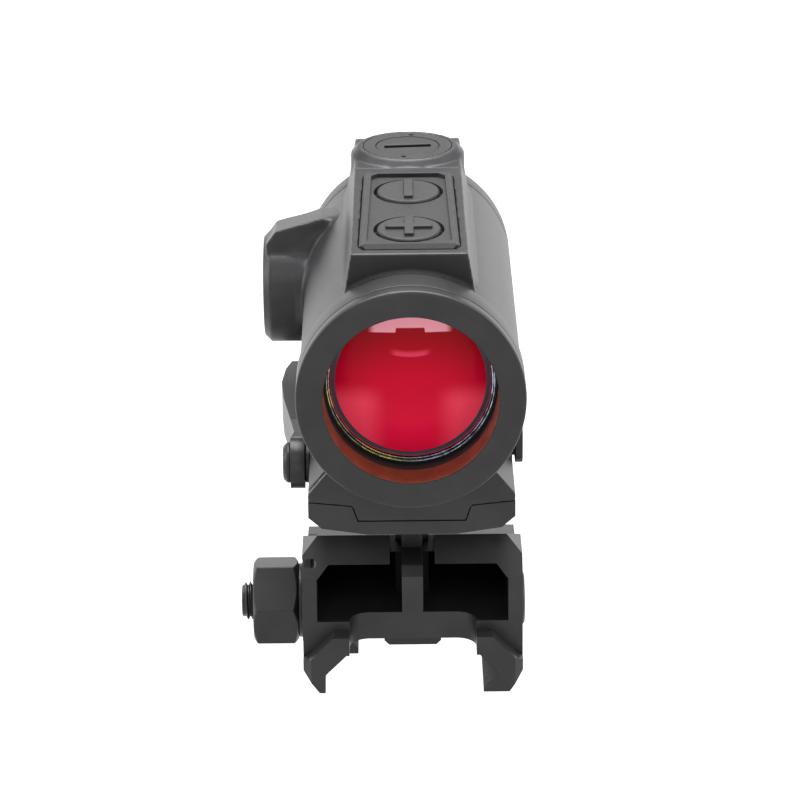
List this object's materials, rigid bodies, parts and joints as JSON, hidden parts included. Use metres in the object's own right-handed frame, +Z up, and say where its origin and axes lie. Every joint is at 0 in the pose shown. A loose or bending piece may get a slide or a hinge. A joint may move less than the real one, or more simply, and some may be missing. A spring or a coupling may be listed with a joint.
{
  "type": "red dot sight",
  "caption": "Micro tube red dot sight with push-button deck, slotted turrets and a raised rail clamp, with throw lever, battery drawer and sliding jaw.",
  "frame": {"origin": "on the rail seat plane, on the optic's centre line, above the cross bolt", "axes": "+Z up, +Y along the rail towards the eyepiece, +X to the eyepiece user's left (the right when looking into the objective)"},
  "size_m": [0.0367, 0.061, 0.0617],
  "materials": {
    "anodised_body": "bead-blasted black anodising",
    "anodised_riser": "satin black anodising",
    "anodised_ring": "turned and black anodised",
    "lens_coating": "polished, red reflecting coating",
    "clear_glass": "polished, anti-reflection coating",
    "rubber_seal": "moulded nitrile",
    "panel_polymer": "moulded, fine texture",
    "button_rubber": "moulded, soft touch",
    "black_steel": "black oxide",
    "spring_steel": "bright",
    "coin_steel": "bright plated",
    "contact_metal": "gold plated",
    "board_laminate": "solder mask",
    "led_resin": "clear red resin"
  },
  "bodies": {
    "sight": {"main_housing": "anodised_body", "front_bezel": "anodised_ring", "bezel_collar": "anodised_ring", "front_lens": "lens_coating", "lens_retainer": "anodised_ring", "front_o_ring": "rubber_seal", "rear_bezel": "anodised_ring", "rear_lens": "clear_glass", "rear_retainer": "anodised_ring", "rear_o_ring": "rubber_seal", "bias_spring": "spring_steel", "circuit_board": "board_laminate", "button_panel": "panel_polymer", "plus_dome": "spring_steel", "minus_dome": "spring_steel", "elevation_ring": "anodised_ring", "elevation_o_ring": "rubber_seal", "windage_ring": "anodised_ring", "windage_o_ring": "rubber_seal", "battery_contacts": "contact_metal", "riser": "anodised_riser", "cross_bolt": "black_steel", "lever_washer": "black_steel"},
    "plus_key": {"plus_button": "button_rubber"},
    "minus_key": {"minus_button": "button_rubber"},
    "elevation_adjuster": {"elevation_dial": "anodised_ring"},
    "elevation_plunger": {"elevation_screw": "spring_steel"},
    "windage_adjuster": {"windage_dial": "anodised_ring"},
    "windage_plunger": {"windage_screw": "spring_steel"},
    "gimbal": {"gimbal_ring": "spring_steel"},
    "carriage": {"emitter_carriage": "anodised_ring", "led_bracket": "spring_steel", "led_emitter": "led_resin"},
    "drawer": {"battery_tray": "anodised_body", "tray_seal": "rubber_seal", "battery": "coin_steel"},
    "jaw": {"clamp_jaw": "anodised_riser", "nut_washer": "black_steel"},
    "nut": {"clamp_nut": "black_steel"},
    "lever": {"throw_lever": "anodised_riser", "lever_pin": "spring_steel", "lever_screw": "black_steel"}
  },
  "joints": [
    {"name": "plus_press", "type": "slide", "parent": "sight", "child": "plus_key", "axis": [0, 0.0593, -0.9982], "range_m": [0, 0.0006], "stiffness_N_per_m": 300, "deforming": ["plus_dome"]},
    {"name": "minus_press", "type": "slide", "parent": "sight", "child": "minus_key", "axis": [0, 0.0593, -0.9982], "range_m": [0, 0.0006], "stiffness_N_per_m": 300, "deforming": ["minus_dome"]},
    {"name": "elevation_turn", "type": "hinge", "parent": "sight", "child": "elevation_adjuster", "pos_m": [0, 0.0177, 0.0542], "axis": [0, 0, 1], "range_deg": [-360, 360]},
    {"name": "elevation_travel", "type": "slide", "parent": "sight", "child": "elevation_plunger", "axis": [0, 0, 1], "range_m": [-0.0005, 0.0005]},
    {"name": "windage_turn", "type": "hinge", "parent": "sight", "child": "windage_adjuster", "pos_m": [-0.0189, 0.0177, 0.0353], "axis": [-1, 0, 0], "range_deg": [-360, 360]},
    {"name": "windage_travel", "type": "slide", "parent": "sight", "child": "windage_plunger", "axis": [-1, 0, 0], "range_m": [-0.0005, 0.0005]},
    {"name": "windage_swing", "type": "hinge", "parent": "sight", "child": "gimbal", "pos_m": [0, -0.0131, 0.0358], "axis": [0, 0, 1], "range_deg": [-0.95, 0.95]},
    {"name": "elevation_swing", "type": "hinge", "parent": "gimbal", "child": "carriage", "pos_m": [0, -0.0131, 0.0358], "axis": [1, 0, 0], "range_deg": [-0.95, 0.95]},
    {"name": "drawer_slide", "type": "slide", "parent": "sight", "child": "drawer", "axis": [1, 0, 0], "range_m": [0, 0.02]},
    {"name": "jaw_slide", "type": "slide", "parent": "sight", "child": "jaw", "axis": [-1, 0, 0], "range_m": [0, 0.004]},
    {"name": "nut_turn", "type": "hinge", "parent": "jaw", "child": "nut", "pos_m": [-0.0176, 0, -0.002], "axis": [-1, 0, 0], "range_deg": [0, 1800]},
    {"name": "lever_throw", "type": "hinge", "parent": "sight", "child": "lever", "pos_m": [-0.01345, -0.0033, 0.0186], "axis": [-1, 0, 0], "range_deg": [0, 32]}
  ],
  "couplings": [
    {"joint": "elevation_turn", "follows": "elevation_travel", "rad_per_m": 12566},
    {"joint": "elevation_swing", "follows": "elevation_travel", "rad_per_m": 32.468},
    {"joint": "windage_turn", "follows": "windage_travel", "rad_per_m": 12566},
    {"joint": "windage_swing", "follows": "windage_travel", "rad_per_m": 32.468},
    {"joint": "nut_turn", "follows": "jaw_slide", "rad_per_m": 7854}
  ]
}
